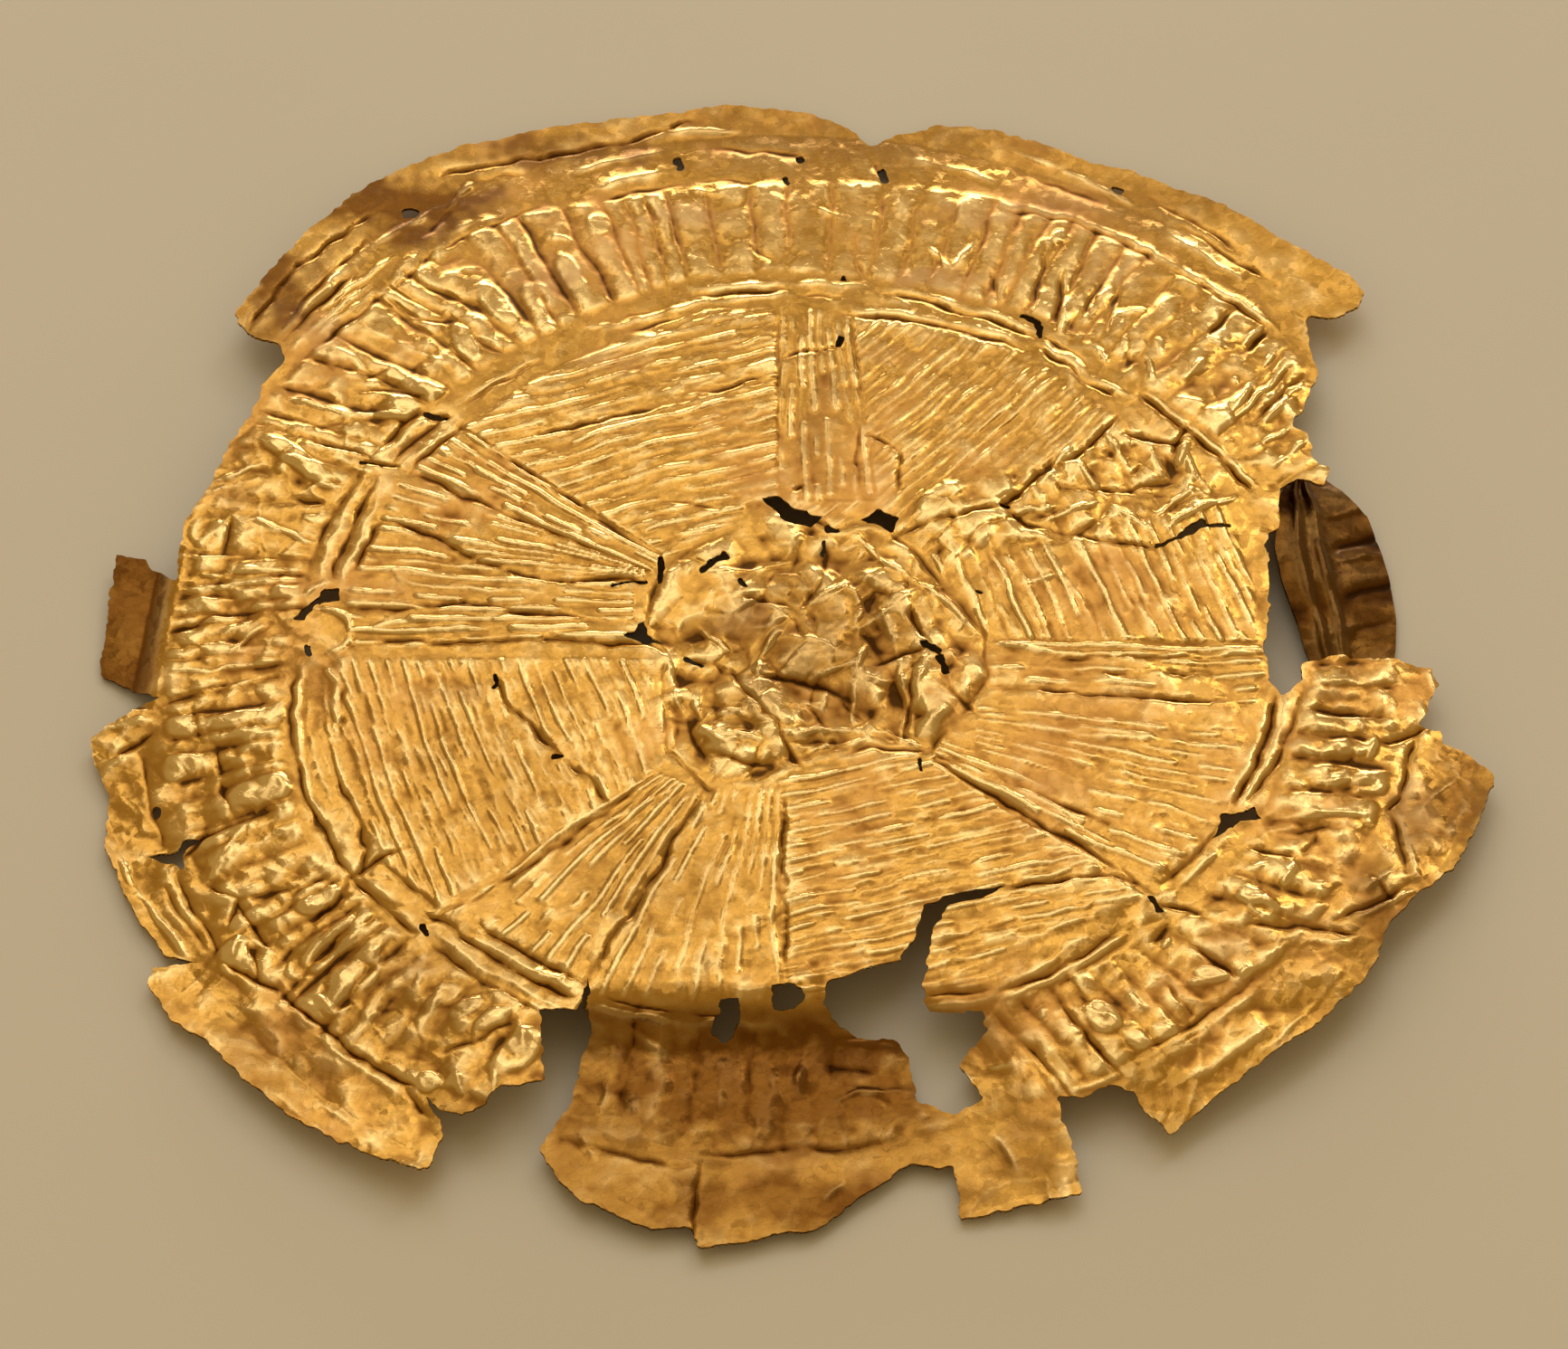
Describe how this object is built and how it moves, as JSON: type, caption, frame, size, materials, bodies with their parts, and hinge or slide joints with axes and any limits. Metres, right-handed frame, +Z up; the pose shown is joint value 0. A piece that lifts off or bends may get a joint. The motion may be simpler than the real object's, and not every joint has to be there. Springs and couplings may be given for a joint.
{
  "type": "gold disc ornament",
  "caption": "Round sheet of hammered gold foil with an eight-armed wheel in a double ring and a gadrooned border, torn and crumpled, lying flat on a surface.",
  "frame": {"origin": "middle of the disc's box, on the surface that it lies on", "axes": "+Z up out of the pattern side, -Y towards the torn front flap, +X to the right of someone who looks from the front"},
  "size_m": [0.062, 0.0648, 0.0046],
  "materials": {
    "gold_foil": "thin hammered gold, bright on the ridges and brown in the creases",
    "dark_foil": "smooth dark tarnished gold"
  },
  "bodies": {
    "root": {"foil_disc": "gold_foil", "rim_fragment": "dark_foil"}
  },
  "joints": []
}
